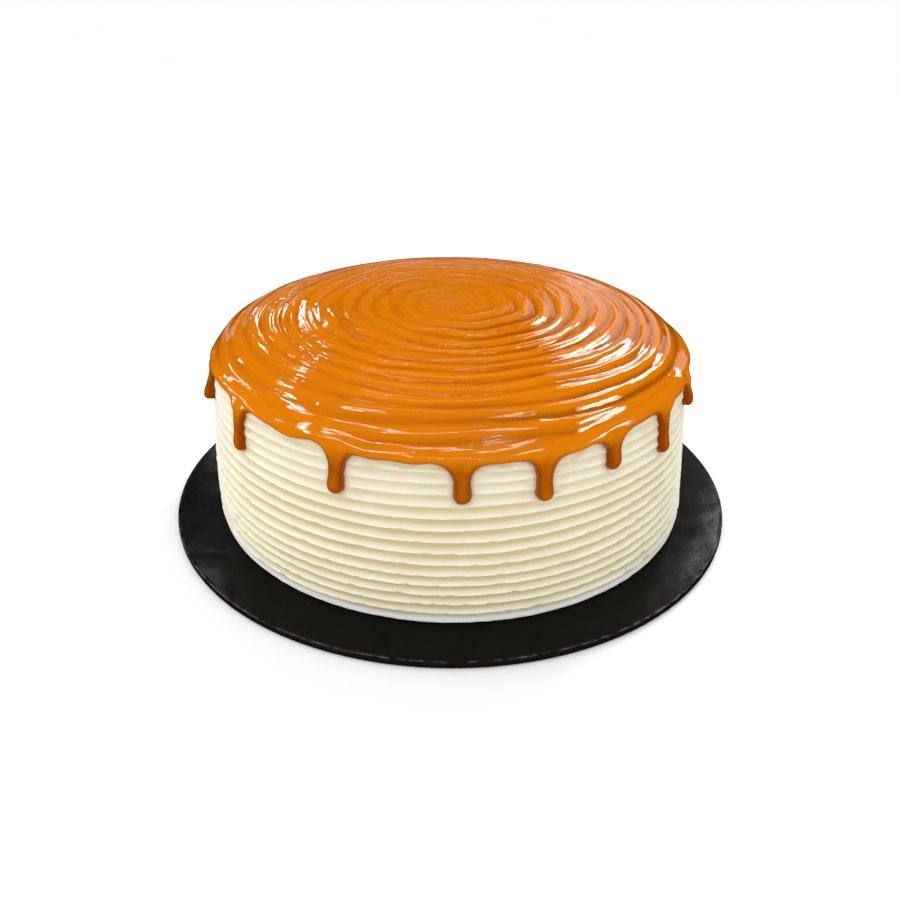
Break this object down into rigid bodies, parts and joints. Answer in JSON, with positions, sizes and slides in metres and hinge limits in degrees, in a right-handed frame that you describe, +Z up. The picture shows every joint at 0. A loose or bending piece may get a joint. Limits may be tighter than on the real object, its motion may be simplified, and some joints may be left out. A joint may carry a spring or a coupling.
{
  "type": "dulce de leche cake on cake board",
  "caption": "Round layer cake in combed cream, with a swirled caramel top that drips down its side, on a thin black round cake board.",
  "frame": {"origin": "centre of the cake board's underside, on the surface it stands on", "axes": "+Z up through the cake; the front of the cake faces -Y; +X to the right of someone facing the front"},
  "size_m": [0.254, 0.254, 0.0927],
  "materials": {
    "board_foil": "black embossed foil over card, glossy with faint wrinkles",
    "combed_cream": "soft whipped buttercream, satin, slightly torn along the comb's ridges",
    "caramel": "thick wet caramel, very glossy, smooth"
  },
  "bodies": {
    "root": {"cake_board": "board_foil", "cake": "combed_cream", "dulce_de_leche": "caramel"}
  },
  "joints": []
}
